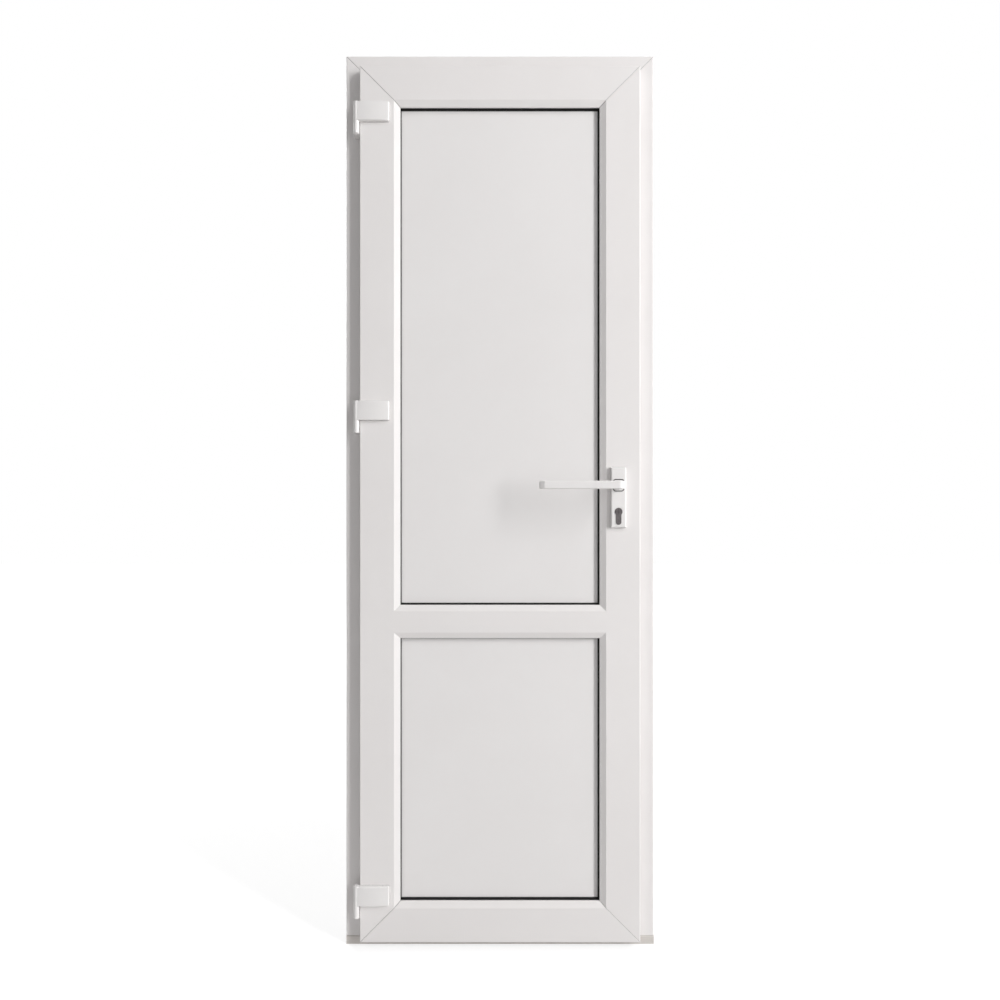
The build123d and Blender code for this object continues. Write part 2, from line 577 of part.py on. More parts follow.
# Handle plates: narrow plates with rounded rims, a groove for the collar ring and the cylinder's cut-out
plate_height = PLATE_ABOVE + PLATE_BELOW
plate_middle = LEVER_Z + PLATE_ABOVE - plate_height / 2
neck_hole = NECK_DIAMETER / 2 + NECK_CLEARANCE
recess_depth = COLLAR_THICKNESS - COLLAR_PROUD
boss_width = COLLAR_WIDTH - 2 * COLLAR_RING
boss_height = COLLAR_HEIGHT - 2 * COLLAR_RING
boss_corner = COLLAR_CORNER - COLLAR_RING
for side, face, outward in (("front", LEAF_FRONT, -1), ("back", LEAF_BACK, 1)):
    plate_face = face + outward * PLATE_THICKNESS
    with BuildPart() as handle_plate:
        with BuildSketch(facing_front(face)):
            with Locations((HANDLE_X, plate_middle)):
                Rectangle(PLATE_WIDTH, plate_height)
        extrude(amount=-outward * PLATE_THICKNESS)
        outer_face = handle_plate.faces().sort_by(Axis((0, 0, 0), (0, outward, 0)))[-1]
        fillet(outer_face.edges(), radius=PLATE_EDGE_RADIUS)
        with BuildSketch(facing_front(plate_face)):
            with Locations((HANDLE_X, LEVER_Z)):
                RectangleRounded(COLLAR_WIDTH, COLLAR_HEIGHT, COLLAR_CORNER)
                RectangleRounded(boss_width, boss_height, boss_corner, mode=Mode.SUBTRACT)
        extrude(amount=outward * recess_depth, mode=Mode.SUBTRACT)
        with BuildSketch(facing_front(face)):
            with Locations((HANDLE_X, LEVER_Z)):
                Circle(neck_hole)
            cylinder_outline(CYLINDER_CLEARANCE)
        extrude(amount=-outward * PLATE_THICKNESS, mode=Mode.SUBTRACT)
    save(handle_plate, f"handle_plate_{side}")

    with BuildPart() as handle_collar:
        with BuildSketch(facing_front(plate_face - outward * recess_depth)):
            with Locations((HANDLE_X, LEVER_Z)):
                RectangleRounded(COLLAR_WIDTH, COLLAR_HEIGHT, COLLAR_CORNER)
                RectangleRounded(boss_width, boss_height, boss_corner, mode=Mode.SUBTRACT)
        extrude(amount=-outward * COLLAR_THICKNESS)
    save(handle_collar, f"handle_collar_{side}")

    # Lever: plan outline with a bend at the neck and a cranked tip, with chamfered rims
    neck_radius = NECK_DIAMETER / 2
    lever_front = face + outward * LEVER_PROJECTION
    lever_back = lever_front - outward * LEVER_THICKNESS
    root = lever_back - outward * (LEVER_INNER_RADIUS + LEVER_CHAMFER)
    tip_x = HANDLE_X - LEVER_REACH
    return_end = lever_front - outward * LEVER_RETURN
    crank_x = tip_x + LEVER_TIP_SLOPE
    inner_crank_x = tip_x + LEVER_TIP_THICKNESS + LEVER_RETURN - LEVER_THICKNESS
    with BuildPart() as lever:
        with BuildSketch(Plane.XY.offset(LEVER_Z)) as plan:
            with BuildLine():
                Polyline(
                    (HANDLE_X + neck_radius, root),
                    (HANDLE_X + neck_radius, lever_front),
                    (crank_x, lever_front),
                    (tip_x, lever_front - outward * LEVER_TIP_FALL),
                    (tip_x, return_end),
                    (tip_x + LEVER_TIP_THICKNESS, return_end),
                    (inner_crank_x, lever_back),
                    (HANDLE_X - neck_radius, lever_back),
                    (HANDLE_X - neck_radius, root),
                    close=True,
                )
            make_face()
            across = Axis((0, 0, 0), (0, outward, 0))
            neck_side = plan.vertices().filter_by_position(Axis.X, HANDLE_X - NECK_DIAMETER, HANDLE_X)
            fillet(neck_side.sort_by(across)[-1], radius=LEVER_INNER_RADIUS)
            tip_low = tip_x - LEVER_TIP_RADIUS
            tip_high = inner_crank_x + LEVER_TIP_RADIUS
            tips = plan.vertices().filter_by_position(Axis.X, tip_low, tip_high)
            fillet(tips, radius=LEVER_TIP_RADIUS)
            outer_side = plan.vertices().group_by(Axis.X)[-1]
            fillet(outer_side.sort_by(across)[-1], radius=LEVER_BEND_RADIUS)
        extrude(amount=neck_radius, both=True)
        for level in (lever.faces().sort_by(Axis.Z)[0], lever.faces().sort_by(Axis.Z)[-1]):
            rim = [edge for edge in level.edges() if abs(edge.center().Y - root) > LEVER_CHAMFER / 2]
            chamfer(rim, length=LEVER_CHAMFER)
        with BuildSketch(facing_front(face + outward * NECK_START)):
            with Locations((HANDLE_X, LEVER_Z)):
                Circle(neck_radius)
        extrude(amount=-outward * (abs(root - face) - NECK_START))
        with BuildSketch(facing_front(face + outward * NECK_START)):
            with Locations((HANDLE_X, LEVER_Z)):
                Rectangle(SPINDLE_SIDE + 2 * SPINDLE_CLEARANCE, SPINDLE_SIDE + 2 * SPINDLE_CLEARANCE)
        extrude(amount=-outward * SPINDLE_INSERT, mode=Mode.SUBTRACT)
    save(lever, f"lever_{side}")

# Spindle: square bar joining the two levers
spindle_back = LEAF_BACK + NECK_START + SPINDLE_INSERT
spindle_front = LEAF_FRONT - NECK_START - SPINDLE_INSERT
with BuildPart() as spindle:
    with BuildSketch(facing_front(spindle_back)):
        with Locations((HANDLE_X, LEVER_Z)):
            Rectangle(SPINDLE_SIDE, SPINDLE_SIDE)
    extrude(amount=spindle_back - spindle_front)
save(spindle, "spindle")

# Lock cylinder: round barrel with a lobe below it, and a ringed plug with a keyway at both ends
cylinder_back = LEAF_BACK + PLATE_THICKNESS + CYLINDER_PROUD
cylinder_front = LEAF_FRONT - PLATE_THICKNESS - CYLINDER_PROUD
with BuildPart() as lock_cylinder:
    with BuildSketch(facing_front(cylinder_back)):
        cylinder_outline(0)
    extrude(amount=cylinder_back - cylinder_front)
    for end, inward in ((cylinder_front, -1), (cylinder_back, 1)):
        with BuildSketch(facing_front(end)):
            with Locations((HANDLE_X, CYLINDER_Z)):
                Circle(PLUG_DIAMETER / 2)
                Circle(PLUG_DIAMETER / 2 - PLUG_GROOVE_WIDTH, mode=Mode.SUBTRACT)
        extrude(amount=inward * PLUG_GROOVE_DEPTH, mode=Mode.SUBTRACT)
        with BuildSketch(facing_front(end)):
            with Locations((HANDLE_X, CYLINDER_Z)):
                Rectangle(KEYWAY_WIDTH, KEYWAY_HEIGHT)
        extrude(amount=inward * KEYWAY_DEPTH, mode=Mode.SUBTRACT)
save(lock_cylinder, "lock_cylinder")

# Lock edge: faceplate in the hardware groove with windows for the latch and the dead bolt
lock_middle = (LEVER_Z + CYLINDER_Z) / 2
plate_inner = BODY_EDGE_X - FACEPLATE_THICKNESS
LOCK_EDGE = Plane(origin=(plate_inner, HARDWARE_Y, lock_middle), x_dir=(0, 1, 0), z_dir=RIGHT)
latch_z = LEVER_Z - lock_middle
bolt_z = CYLINDER_Z - lock_middle
with BuildPart() as lock_faceplate:
    with BuildSketch(LOCK_EDGE):
        SlotOverall(FACEPLATE_HEIGHT, HARDWARE_GROOVE_WIDTH, rotation=90)
        for level, height in ((latch_z, LATCH_HEIGHT), (bolt_z, DEAD_BOLT_HEIGHT)):
            with Locations((0, level)):
                Rectangle(LATCH_WIDTH, height, mode=Mode.SUBTRACT)
    extrude(amount=FACEPLATE_THICKNESS)
save(lock_faceplate, "lock_faceplate")

# Bolts: bevelled latch, and dead bolt drawn in flush with the faceplate
bolt_depth = HARDWARE_SLOT_DEPTH - FACEPLATE_THICKNESS
bolt_width = LATCH_WIDTH - 2 * BOLT_CLEARANCE
with BuildPart() as latch_bolt:
    with BuildSketch(Plane.XY.offset(LEVER_Z)):
        with BuildLine():
            Polyline(
                (plate_inner - bolt_depth, HARDWARE_Y - bolt_width / 2),
                (BODY_EDGE_X, HARDWARE_Y - bolt_width / 2),
                (BODY_EDGE_X + LATCH_PROUD, HARDWARE_Y - bolt_width / 2 + LATCH_BEVEL),
                (BODY_EDGE_X + LATCH_PROUD, HARDWARE_Y + bolt_width / 2),
                (plate_inner - bolt_depth, HARDWARE_Y + bolt_width / 2),
                close=True,
            )
        make_face()
    extrude(amount=LATCH_HEIGHT / 2 - BOLT_CLEARANCE, both=True)
save(latch_bolt, "latch_bolt")

with BuildPart() as dead_bolt:
    with BuildSketch(Plane(origin=(BODY_EDGE_X, HARDWARE_Y, CYLINDER_Z), x_dir=(0, 1, 0), z_dir=LEFT)):
        Rectangle(bolt_width, DEAD_BOLT_HEIGHT - 2 * BOLT_CLEARANCE)
    extrude(amount=FACEPLATE_THICKNESS + bolt_depth)
save(dead_bolt, "dead_bolt")

# Strike plate: on the frame's rebate opposite the lock, with a window for each bolt
with BuildPart() as strike_plate:
    with BuildSketch(Plane(origin=(REBATE_X, HARDWARE_Y, lock_middle), x_dir=(0, -1, 0), z_dir=LEFT)):
        RectangleRounded(STRIKE_WIDTH, STRIKE_HEIGHT, STRIKE_CORNER)
        for level, height in ((latch_z, LATCH_HEIGHT), (bolt_z, DEAD_BOLT_HEIGHT)):
            with Locations((0, level)):
                Rectangle(STRIKE_WINDOW_WIDTH, height + 2 * STRIKE_WINDOW_MARGIN, mode=Mode.SUBTRACT)
    extrude(amount=STRIKE_THICKNESS)
save(strike_plate, "strike_plate")
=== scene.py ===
"""Looks for a white uPVC door set: finishes, gasket lips, small fasteners, studio light and camera."""

import json
import math

import bmesh
import bpy
from mathutils import Matrix, Vector


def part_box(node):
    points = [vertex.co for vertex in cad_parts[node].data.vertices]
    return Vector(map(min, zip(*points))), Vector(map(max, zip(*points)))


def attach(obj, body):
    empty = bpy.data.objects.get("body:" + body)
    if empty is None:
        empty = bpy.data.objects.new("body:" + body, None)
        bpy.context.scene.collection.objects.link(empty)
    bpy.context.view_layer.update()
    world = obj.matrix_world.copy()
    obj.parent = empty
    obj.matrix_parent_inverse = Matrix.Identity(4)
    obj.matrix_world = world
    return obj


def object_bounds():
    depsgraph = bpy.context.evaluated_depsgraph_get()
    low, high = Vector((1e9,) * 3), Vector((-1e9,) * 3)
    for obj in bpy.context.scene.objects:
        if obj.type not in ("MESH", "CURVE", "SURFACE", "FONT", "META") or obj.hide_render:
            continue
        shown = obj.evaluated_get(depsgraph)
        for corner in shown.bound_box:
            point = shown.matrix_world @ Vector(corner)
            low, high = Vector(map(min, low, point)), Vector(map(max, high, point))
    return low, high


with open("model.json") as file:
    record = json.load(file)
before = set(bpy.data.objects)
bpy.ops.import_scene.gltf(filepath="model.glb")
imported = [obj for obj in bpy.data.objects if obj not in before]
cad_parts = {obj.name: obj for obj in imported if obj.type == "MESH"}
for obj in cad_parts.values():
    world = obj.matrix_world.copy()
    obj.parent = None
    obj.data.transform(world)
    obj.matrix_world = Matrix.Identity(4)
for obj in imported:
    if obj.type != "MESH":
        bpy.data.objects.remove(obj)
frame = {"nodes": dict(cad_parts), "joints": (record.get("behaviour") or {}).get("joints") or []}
cad_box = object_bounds()
scene = bpy.context.scene

MM = 0.001
WHITE = (1.0, 1.0, 1.0, 1.0)

# Camera: level and square on, aimed at the middle of the set
CAMERA_DISTANCE = 1.5195
CAMERA_HEIGHT = 1.025
CAMERA_LENS = 24.0
CAMERA_SENSOR = 36.0

# Studio light: a tall key lamp in front on the right, a lamp behind, and fill that is stronger from above
TO_KEY = Vector((1.5, -1.0, 0.68)).normalized()
KEY_DISTANCE = 7.0
KEY_WIDTH = 1.35
KEY_HEIGHT = 7.5
KEY_POWER = 488.0
TO_BACK = Vector((-0.8, 1.0, 0.7)).normalized()
BACK_DISTANCE = 4.0
BACK_WIDTH = 2.2
BACK_HEIGHT = 2.2
BACK_POWER = 88.0
FILL_EVEN = 0.20
FILL_UP = 0.18

# Floor: a pale colour for the light it returns, and a glow with a weak shade where it is seen directly
FLOOR_COLOUR = (0.60, 0.595, 0.59, 1.0)
FLOOR_ROUGHNESS = 0.9
FLOOR_SHADE = (0.45, 0.45, 0.45, 1.0)
FLOOR_GLOW_NEAR = 0.68
FLOOR_GLOW_FAR = 0.92
FLOOR_NEAR = 1.5
FLOOR_FAR = 4.0
FLOOR_HALF = 9.0
FLOOR_CELLS = 8
FLOOR_GAP = 0.2 * MM

# Finishes, as linear colours
PROFILE_PALE = (0.872, 0.846, 0.838, 1.0)
PROFILE_DEEP = (0.852, 0.824, 0.816, 1.0)
PANEL_PALE = (0.868, 0.848, 0.842, 1.0)
PANEL_DEEP = (0.852, 0.830, 0.823, 1.0)
COATED_PALE = (0.866, 0.848, 0.840, 1.0)
COATED_DEEP = (0.848, 0.828, 0.820, 1.0)
RUBBER_PALE = (0.020, 0.019, 0.019, 1.0)
RUBBER_DEEP = (0.009, 0.009, 0.009, 1.0)
ALUMINIUM_PALE = (0.73, 0.69, 0.655, 1.0)
ALUMINIUM_DEEP = (0.62, 0.588, 0.558, 1.0)
NICKEL_PALE = (0.168, 0.154, 0.156, 1.0)
NICKEL_DEEP = (0.104, 0.095, 0.097, 1.0)
STEEL_PALE = (0.62, 0.62, 0.61, 1.0)
STEEL_DEEP = (0.48, 0.48, 0.475, 1.0)

# Gloss: roughness of the smoothest and the roughest spots, and what else shapes the shine
UPVC_ROUGHNESS = (0.30, 0.38)
UPVC_IOR = 1.53
COATED_ROUGHNESS = (0.30, 0.40)
COAT_WEIGHT = 0.15
COAT_ROUGHNESS = 0.2
RUBBER_ROUGHNESS = (0.55, 0.72)
RUBBER_SPECULAR = 0.12
ALUMINIUM_ROUGHNESS = (0.45, 0.56)
ALUMINIUM_METALLIC = 0.12
STEEL_ROUGHNESS = (0.25, 0.36)
STEEL_METALLIC = 1.0
NICKEL_ROUGHNESS = (0.34, 0.46)
NICKEL_METALLIC = 1.0
DRAWN_ANISOTROPY = 0.4

# Texture: the span that most noise values fall in, the reach of the painted shade in crevices and the
# depths of relief
NOISE_LOW = 0.3
NOISE_HIGH = 0.7
CREVICE_REACH = 2.0 * MM
CREVICE_SAMPLES = 6
PEEL_DEPTH = 0.012 * MM
DIE_LINE_DEPTH = 0.006 * MM
PEBBLE_DEPTH = 0.010 * MM
RUBBER_DEPTH = 0.02 * MM
STREAK_DEPTH = 0.008 * MM
TURNING_DEPTH = 0.01 * MM

# Front gasket lips: quarter rounds that lie on the panel, wider on some sides than on others
GASKET_WIDTH = 10.5 * MM
LIP_ROOT = 0.4 * MM
LIP_HEIGHT = 3.2 * MM
LIP_GAP = 0.05 * MM
LIP_WIDE = 2.3 * MM
LIP_NARROW = 0.15 * MM
LIP_STEPS = 10
LIP_WIDTHS = {
    "upper": {"left": LIP_NARROW, "right": LIP_WIDE, "bottom": LIP_WIDE, "top": LIP_WIDE},
    "lower": {"left": LIP_NARROW, "right": LIP_WIDE, "bottom": LIP_WIDE, "top": LIP_NARROW},
}

# Heads of screws, sockets and caps: sides, rings, foot below the surface, edge and rise above it
HEAD_SIDES = 48
SHARP_ANGLE = math.radians(32)
SCREW_RINGS = 16
SCREW_FOOT = 0.5 * MM
SCREW_EDGE = 0.1 * MM
SCREW_RISE = 0.35 * MM
SOCKET_RINGS = 18
SOCKET_FOOT = 0.6 * MM
CAP_RINGS = 8
CAP_FOOT = 0.5 * MM
CAP_EDGE = 0.5 * MM
CAP_RISE = 0.7 * MM

# Driver recesses: depths, the cross as shares of the head's radius, and the shares of a width that slope
CROSS_DEPTH = 1.2 * MM
CROSS_HALF_SLOT = 0.16
CROSS_REACH = 0.62
CROSS_WALL = 0.35
CROSS_END = 0.45
SOCKET_DEPTH = 1.4 * MM
SOCKET_WALL = 0.12

# Screws: head radii, insets from the ends of plates, and places along Y and X on the threshold
FACEPLATE_SCREW = 3.6 * MM
STRIKE_SCREW = 3.8 * MM
LOCK_SCREW_INSET = 9 * MM
THRESHOLD_SCREW = 3.4 * MM
THRESHOLD_SCREW_PLACE = 12 * MM
THRESHOLD_SCREW_STEPS = (-0.22, 0.0, 0.22)
PLATE_SCREW = 3.6 * MM
PLATE_SCREW_INSET = 12 * MM

# Set screws under the levers: head, socket, and their place on the lever's neck, out from the collar
SET_SCREW = 2.4 * MM
SET_SCREW_EDGE = 0.1 * MM
SET_SCREW_RISE = 0.05 * MM
SET_SCREW_ACROSS = 2.5 * MM
NECK_RADIUS = 9 * MM
NECK_SPOT = 11 * MM

# Cover caps in the jambs, with their place along Y and their heights, and caps on the hinge pins
COVER_CAP = 4.8 * MM
COVER_CAP_PLACE = 9.5 * MM
COVER_CAP_LEVELS = (0.20, 0.72, 1.30, 1.86)
HINGES = ("top", "middle", "bottom")
HINGE_CAP_UPPER = 5.4 * MM
HINGE_CAP_LOWER = 5.0 * MM
HINGE_CAP_ACROSS = 4.0 * MM


def add(tree, kind, settings=None, **inputs):
    """One shader node. Inputs are values, or sockets that feed them."""
    made = tree.nodes.new(kind)
    for key, value in (settings or {}).items():
        setattr(made, key, value)
    for key, value in inputs.items():
        socket = made.inputs[key.replace("_", " ")]
        if isinstance(value, bpy.types.NodeSocket):
            tree.links.new(value, socket)
        else:
            socket.default_value = value
    return made


def blank(name):
    """A new material with its node tree and its Principled shader."""
    material = bpy.data.materials.new(name)
    material.use_nodes = True
    tree = material.node_tree
    return material, tree, tree.nodes["Principled BSDF"]


def place(tree, stretch=(1.0, 1.0, 1.0), origin=(0.0, 0.0, 0.0)):
    """Coordinates in metres about an origin, scaled along each axis."""
    coordinates = add(tree, "ShaderNodeTexCoord").outputs["Object"]
    shifted = add(tree, "ShaderNodeVectorMath", {"operation": "SUBTRACT"})
    tree.links.new(coordinates, shifted.inputs[0])
    shifted.inputs[1].default_value = origin
    scaled = add(tree, "ShaderNodeMapping", Vector=shifted.outputs["Vector"], Scale=stretch)
    return scaled.outputs["Vector"]


def noise(tree, where, waves, detail=2.0, roughness=0.5):
    """Soft noise, 0 to 1, with this many waves to the metre."""
    made = add(tree, "ShaderNodeTexNoise", Vector=where, Scale=waves, Detail=detail, Roughness=roughness)
    return made.outputs[0]


def spread(tree, source, span):
    """Noise stretched to fill a span of values."""
    low, high = span
    made = add(
        tree,
        "ShaderNodeMapRange",
        Value=source,
        From_Min=NOISE_LOW,
        From_Max=NOISE_HIGH,
        To_Min=low,
        To_Max=high,
    )
    return made.outputs["Result"]


def tint(tree, source, deep, pale):
    """A colour between deep and pale, chosen by noise."""
    made = add(tree, "ShaderNodeValToRGB", Fac=source)
    first, last = made.color_ramp.elements
    first.position = NOISE_LOW
    first.color = deep
    last.position = NOISE_HIGH
    last.color = pale
    return made.outputs["Color"]


def relief(tree, shader, layers):
    """Bumps one over another: each layer is its height map and its depth in metres."""
    normal = None
    for height, depth in layers:
        bump = add(tree, "ShaderNodeBump", Height=height, Distance=depth, Strength=1.0)
        if normal is not None:
            tree.links.new(normal, bump.inputs["Normal"])
        normal = bump.outputs["Normal"]
    tree.links.new(normal, shader.inputs["Normal"])


def along(run, fine, coarse):
    """Texture scale that is coarse along the run and fine across it."""
    return tuple(coarse if axis == run else fine for axis in "XYZ")


def upvc(name, pale, deep, run=None):
    """White uPVC: faint drift in tone, painted shade in crevices and corners, fine orange peel and, on
    extrusions, die lines.
    """
    material, tree, shader = blank(name)
    drift = noise(tree, place(tree), waves=5.0, detail=4.0, roughness=0.6)
    tone = tint(tree, drift, deep, pale)
    # Painted shade: ambient occlusion darkens the colour in crevices, grooves and corners where shade falls
    painted_crevice_shade = add(
        tree,
        "ShaderNodeAmbientOcclusion",
        {"samples": CREVICE_SAMPLES},
        Color=tone,
        Distance=CREVICE_REACH,
    )
    tree.links.new(painted_crevice_shade.outputs["Color"], shader.inputs["Base Color"])
    gloss = noise(tree, place(tree), waves=38.0, detail=3.0)
    tree.links.new(spread(tree, gloss, UPVC_ROUGHNESS), shader.inputs["Roughness"])
    layers = [(noise(tree, place(tree), waves=420.0), PEEL_DEPTH)]
    if run:
        drawn = place(tree, along(run, fine=900.0, coarse=2.0))
        lines = noise(tree, drawn, waves=1.0, roughness=0.6)
        layers.append((lines, DIE_LINE_DEPTH))
    relief(tree, shader, layers)
    shader.inputs["IOR"].default_value = UPVC_IOR
    return material


def coated(name):
    """Powder-coated white metal: slight tone drift and a pebbled coat."""
    material, tree, shader = blank(name)
    drift = noise(tree, place(tree), waves=24.0, detail=3.0)
    tree.links.new(tint(tree, drift, COATED_DEEP, COATED_PALE), shader.inputs["Base Color"])
    gloss = noise(tree, place(tree), waves=160.0)
    tree.links.new(spread(tree, gloss, COATED_ROUGHNESS), shader.inputs["Roughness"])
    relief(tree, shader, [(noise(tree, place(tree), waves=1100.0), PEBBLE_DEPTH)])
    shader.inputs["Coat Weight"].default_value = COAT_WEIGHT
    shader.inputs["Coat Roughness"].default_value = COAT_ROUGHNESS
    return material


def rubber(name):
    """Black sealing rubber: dull, with a dusty bloom and a fine skin."""
    material, tree, shader = blank(name)
    bloom = noise(tree, place(tree), waves=60.0, detail=4.0, roughness=0.65)
    tree.links.new(tint(tree, bloom, RUBBER_DEEP, RUBBER_PALE), shader.inputs["Base Color"])
    tree.links.new(spread(tree, bloom, RUBBER_ROUGHNESS), shader.inputs["Roughness"])
    relief(tree, shader, [(noise(tree, place(tree), waves=900.0, detail=3.0), RUBBER_DEPTH)])
    shader.inputs["Specular IOR Level"].default_value = RUBBER_SPECULAR
    return material


def drawn_metal(name, run, pale, deep, roughness, metallic):
    """Satin metal with streaks along its run."""
    material, tree, shader = blank(name)
    drawn = place(tree, along(run, fine=700.0, coarse=6.0))
    streaks = noise(tree, drawn, waves=1.0, detail=3.0, roughness=0.6)
    cloud = noise(tree, place(tree), waves=18.0, detail=3.0)
    tree.links.new(tint(tree, streaks, deep, pale), shader.inputs["Base Color"])
    tree.links.new(spread(tree, cloud, roughness), shader.inputs["Roughness"])
    relief(tree, shader, [(streaks, STREAK_DEPTH)])
    shader.inputs["Metallic"].default_value = metallic
    shader.inputs["Anisotropic"].default_value = DRAWN_ANISOTROPY
    return material


def aluminium(name, run):
    """Anodised aluminium of the threshold, dull and pale."""
    pale, deep = ALUMINIUM_PALE, ALUMINIUM_DEEP
    return drawn_metal(name, run, pale, deep, ALUMINIUM_ROUGHNESS, ALUMINIUM_METALLIC)


def steel(name, run):
    """Zinc-plated steel of the lock's pieces and the screws."""
    return drawn_metal(name, run, STEEL_PALE, STEEL_DEEP, STEEL_ROUGHNESS, STEEL_METALLIC)


def turned_metal(name, pale, deep, centre):
    """Dark satin metal with turning rings about an axis along Y."""
    material, tree, shader = blank(name)
    rings = add(
        tree,
        "ShaderNodeTexWave",
        {"wave_type": "RINGS", "rings_direction": "Y", "wave_profile": "SIN"},
        Vector=place(tree, origin=centre),
        Scale=1400.0,
        Distortion=1.5,
        Detail=2.0,
    )
    cloud = noise(tree, place(tree), waves=240.0, detail=3.0)
    tree.links.new(tint(tree, cloud, deep, pale), shader.inputs["Base Color"])
    tree.links.new(spread(tree, cloud, NICKEL_ROUGHNESS), shader.inputs["Roughness"])
    relief(tree, shader, [(rings.outputs["Fac"], TURNING_DEPTH)])
    shader.inputs["Metallic"].default_value = NICKEL_METALLIC
    return material


def run_of(node):
    """The axis along which a node is longest."""
    low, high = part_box(node)
    size = high - low
    return "XYZ"[max(range(3), key=lambda axis: size[axis])]


def middle(node):
    """The centre of a node's box."""
    low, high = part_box(node)
    return (low + high) / 2


def joint_point(name):
    """A point on a joint's axis."""
    joint = next(joint for joint in frame["joints"] if joint["name"] == name)
    return Vector(joint["pos_m"])


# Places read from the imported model
lever_point = joint_point("handle_turn")
hinge_point = joint_point("leaf_swing")
cylinder_low, cylinder_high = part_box("lock_cylinder")
plug_radius = (cylinder_high.x - cylinder_low.x) / 2
plug_centre = Vector(((cylinder_low.x + cylinder_high.x) / 2, 0.0, cylinder_high.z - plug_radius))

# What makes the finish of each material slot, and the slots whose texture follows the run of the node
FINISH_MAKERS = {
    "profile": lambda name, run: upvc(name, PROFILE_PALE, PROFILE_DEEP, run),
    "bead": lambda name, run: upvc(name, PROFILE_PALE, PROFILE_DEEP, run),
    "panel": lambda name, run: upvc(name, PANEL_PALE, PANEL_DEEP),
    "gasket": lambda name, run: rubber(name),
    "seal": lambda name, run: rubber(name),
    "threshold": aluminium,
    "hinge": lambda name, run: coated(name),
    "handle": lambda name, run: coated(name),
    "collar": lambda name, run: rubber(name),
    "cylinder": lambda name, run: turned_metal(name, NICKEL_PALE, NICKEL_DEEP, plug_centre),
    "lock_steel": steel,
}
RUN_SLOTS = ("profile", "bead", "lock_steel")
made_finishes = {}


def finish_for(slot, node):
    """The finish of a node, made once for each slot and run."""
    run = run_of(node)
    key = f"{slot}_{run}" if slot in RUN_SLOTS else slot
    if key not in made_finishes:
        made_finishes[key] = FINISH_MAKERS[slot](f"finish_{key}", run)
    return made_finishes[key]


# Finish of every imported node
for node, thing in frame["nodes"].items():
    slot_name = thing.material_slots[0].material.name
    thing.material_slots[0].material = finish_for(slot_name, node)


def mesh_piece(name, bm, body, slot, node):
    """A finished mesh as a piece that rides on a body, with the finish of a like node."""
    bmesh.ops.recalc_face_normals(bm, faces=bm.faces)
    mesh = bpy.data.meshes.new(name)
    bm.to_mesh(mesh)
    bm.free()
    mesh.set_sharp_from_angle(angle=SHARP_ANGLE)
    piece = bpy.data.objects.new(name, mesh)
    scene.collection.objects.link(piece)
    mesh.materials.append(finish_for(slot, node))
    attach(piece, body)


def bridge(bm, outer, inner):
    """Faces between two closed loops that have the same number of points."""
    count = len(outer)
    for step in range(count):
        after = (step + 1) % count
        bm.faces.new((outer[step], outer[after], inner[after], inner[step]))


def frame_at(point, normal):
    """A matrix that stands local Z on a surface point along its normal."""
    return Matrix.Translation(point) @ Vector(normal).to_track_quat("Z", "Y").to_matrix().to_4x4()


def round_head(bm, matrix, rings, dip):
    """A closed round head from rings of (radius, height), foot first, sunk by a recess where it has one."""
    loops = []
    for radius, height in rings:
        loop = []
        for step in range(HEAD_SIDES):
            turn = 2 * math.pi * step / HEAD_SIDES
            x = radius * math.cos(turn)
            y = radius * math.sin(turn)
            loop.append(bm.verts.new(matrix @ Vector((x, y, height - dip(x, y)))))
        loops.append(loop)
    for outer, inner in zip(loops, loops[1:]):
        bridge(bm, outer, inner)
    bm.faces.new(loops[-1])
    bm.faces.new(loops[0][::-1])


def ramp(distance, width):
    """A share that rises from 0 at no distance to 1 at the width."""
    return max(0.0, min(1.0, distance / width))


def cross_recess(radius):
    """Depth of a cross-shaped driver recess at a point of the head."""
    half_slot = CROSS_HALF_SLOT * radius
    reach = CROSS_REACH * radius

    def dip(x, y):
        near = min(abs(x), abs(y))
        far = max(abs(x), abs(y))
        wall = ramp(half_slot - near, CROSS_WALL * half_slot)
        end = ramp(reach - far, CROSS_END * reach)
        return CROSS_DEPTH * wall * end

    return dip


def hex_recess(across):
    """Depth of a hexagonal socket at a point of the head."""
    half = across / 2
    turns = [side * math.pi / 3 for side in range(3)]

    def dip(x, y):
        far = max(abs(x * math.cos(turn) + y * math.sin(turn)) for turn in turns)
        return SOCKET_DEPTH * ramp(half - far, SOCKET_WALL * half)

    return dip


def no_recess(x, y):
    """The depth of a head with no driver recess."""
    return 0.0


def domed_rings(radius, foot, edge, rise, count):
    """Rings of a low dome: a foot below the surface, an edge above it and a rise to the middle."""
    rings = [(radius, -foot), (radius, edge)]
    for step in range(1, count):
        share = 1 - step / count
        rings.append((radius * share, edge + rise * (1 - share * share)))
    return rings


def heads(name, spots, normal, rings, dip, body, slot, node):
    """Like heads at several spots, all facing one way, joined in one piece."""
    bm = bmesh.new()
    for spot in spots:
        round_head(bm, frame_at(spot, normal), rings, dip)
    mesh_piece(name, bm, body, slot, node)


def screws(name, spots, normal, radius, body, slot, node):
    """Countersunk screws with cross recesses."""
    rings = domed_rings(radius, SCREW_FOOT, SCREW_EDGE, SCREW_RISE, SCREW_RINGS)
    heads(name, spots, normal, rings, cross_recess(radius), body, slot, node)


def sockets(name, spots, normal, radius, edge, rise, across, body, slot, node):
    """Round heads with hexagon sockets."""
    rings = domed_rings(radius, SOCKET_FOOT, edge, rise, SOCKET_RINGS)
    heads(name, spots, normal, rings, hex_recess(across), body, slot, node)


def caps(name, spots, normal, radius, body, slot, node):
    """Plain round cover caps."""
    rings = domed_rings(radius, CAP_FOOT, CAP_EDGE, CAP_RISE, CAP_RINGS)
    heads(name, spots, normal, rings, no_recess, body, slot, node)


